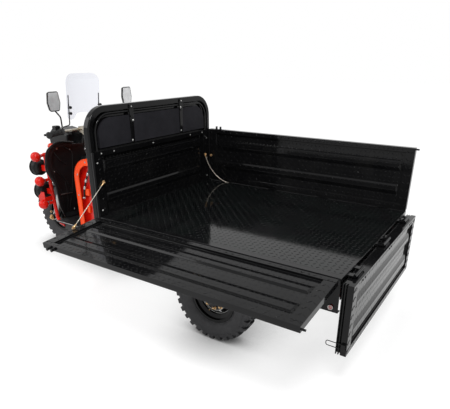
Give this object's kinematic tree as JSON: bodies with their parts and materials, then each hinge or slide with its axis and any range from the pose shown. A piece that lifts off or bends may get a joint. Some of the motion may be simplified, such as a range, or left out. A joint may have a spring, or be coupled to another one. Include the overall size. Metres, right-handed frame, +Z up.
{
  "type": "cargo tricycle",
  "caption": "Three-wheeled cargo tricycle: flat load bed with drop sides and tailgate, headboard, rider's seat, leg shield and raked steering.",
  "frame": {"origin": "centre of the load floor's top face", "axes": "+X forward along the vehicle, +Y to its left, +Z up"},
  "size_m": [2.9379, 1.5948, 1.3562],
  "materials": {
    "amber_lens": "gloss",
    "battery_case": "matte",
    "black_plastic": "satin",
    "cast_axle": "painted",
    "floor_paint": "gloss",
    "gloss_black_paint": "gloss",
    "grip_rubber": "matte",
    "handlebar_chrome": "polished",
    "lamp_lens": "clear",
    "mirror_face": "polished",
    "orange_paint": "gloss",
    "red_lens": "gloss",
    "red_paint": "gloss",
    "satin_black_paint": "satin",
    "screen_clear": "clear",
    "seat_leather": "satin",
    "tyre_rubber": "matte",
    "upper_panel_matte": "matte",
    "wire_rope": "stranded"
  },
  "bodies": {
    "chassis": {"chassis_frame": "satin_black_paint", "seat_base": "orange_paint", "seat_side_panels": "red_paint", "seat_cushion": "seat_leather", "backrest_pad": "seat_leather", "footboard": "black_plastic", "leg_shield": "black_plastic", "side_guards": "red_paint", "spot_lamps": "black_plastic", "spot_lenses": "lamp_lens", "battery_block": "battery_case", "rear_axle": "cast_axle", "leaf_springs": "satin_black_paint", "bed_frame": "gloss_black_paint", "load_floor": "floor_paint", "bed_skirts": "gloss_black_paint", "headboard_frame": "gloss_black_paint", "headboard_panel": "gloss_black_paint", "headboard_upper_panel": "upper_panel_matte", "rear_mudguards": "black_plastic", "tail_lamps": "red_lens", "stay_cable_left": "wire_rope", "stay_cable_right": "wire_rope", "stay_lug_right": "wire_rope"},
    "steering": {"fork": "satin_black_paint", "front_mudguard": "black_plastic", "handlebar": "handlebar_chrome", "hand_grips": "grip_rubber", "headlight_cowl": "black_plastic", "headlight_lens": "lamp_lens", "indicators": "amber_lens", "windscreen": "screen_clear", "screen_rods": "satin_black_paint", "mirrors": "black_plastic", "mirror_glass": "mirror_face"},
    "front_wheel": {"front_tyre": "tyre_rubber", "front_rim": "gloss_black_paint"},
    "rear_wheel_left": {"rear_tyre_left": "tyre_rubber", "rear_rim_left": "gloss_black_paint"},
    "rear_wheel_right": {"rear_tyre_right": "tyre_rubber", "rear_rim_right": "gloss_black_paint"},
    "left_side": {"left_side_frame": "gloss_black_paint", "left_side_sheet": "gloss_black_paint"},
    "right_side": {"right_side_frame": "gloss_black_paint", "right_side_sheet": "gloss_black_paint"},
    "tailgate": {"tailgate_frame": "gloss_black_paint", "tailgate_sheet": "gloss_black_paint"}
  },
  "joints": [
    {"name": "steering_head", "type": "hinge", "parent": "chassis", "child": "steering", "pos_m": [1.6567, 0, 0.01198], "axis": [-0.4384, 0, 0.8988], "range_deg": [-35, 35]},
    {"name": "front_wheel_spin", "type": "hinge", "parent": "steering", "child": "front_wheel", "pos_m": [1.868, 0, -0.33], "axis": [0, 1, 0], "continuous": true},
    {"name": "rear_wheel_left_spin", "type": "hinge", "parent": "chassis", "child": "rear_wheel_left", "pos_m": [-0.045, 0.505, -0.33], "axis": [0, 1, 0], "continuous": true},
    {"name": "rear_wheel_right_spin", "type": "hinge", "parent": "chassis", "child": "rear_wheel_right", "pos_m": [-0.045, -0.505, -0.33], "axis": [0, 1, 0], "continuous": true},
    {"name": "left_side_hinge", "type": "hinge", "parent": "chassis", "child": "left_side", "pos_m": [0, 0.588, -0.008], "axis": [1, 0, 0], "range_deg": [0, 95], "deforming": ["stay_cable_left"]},
    {"name": "right_side_hinge", "type": "hinge", "parent": "chassis", "child": "right_side", "pos_m": [0, -0.588, -0.008], "axis": [1, 0, 0], "range_deg": [0, 95]},
    {"name": "tailgate_hinge", "type": "hinge", "parent": "chassis", "child": "tailgate", "pos_m": [-0.786, 0, -0.008], "axis": [0, 1, 0], "range_deg": [0, 180]}
  ]
}
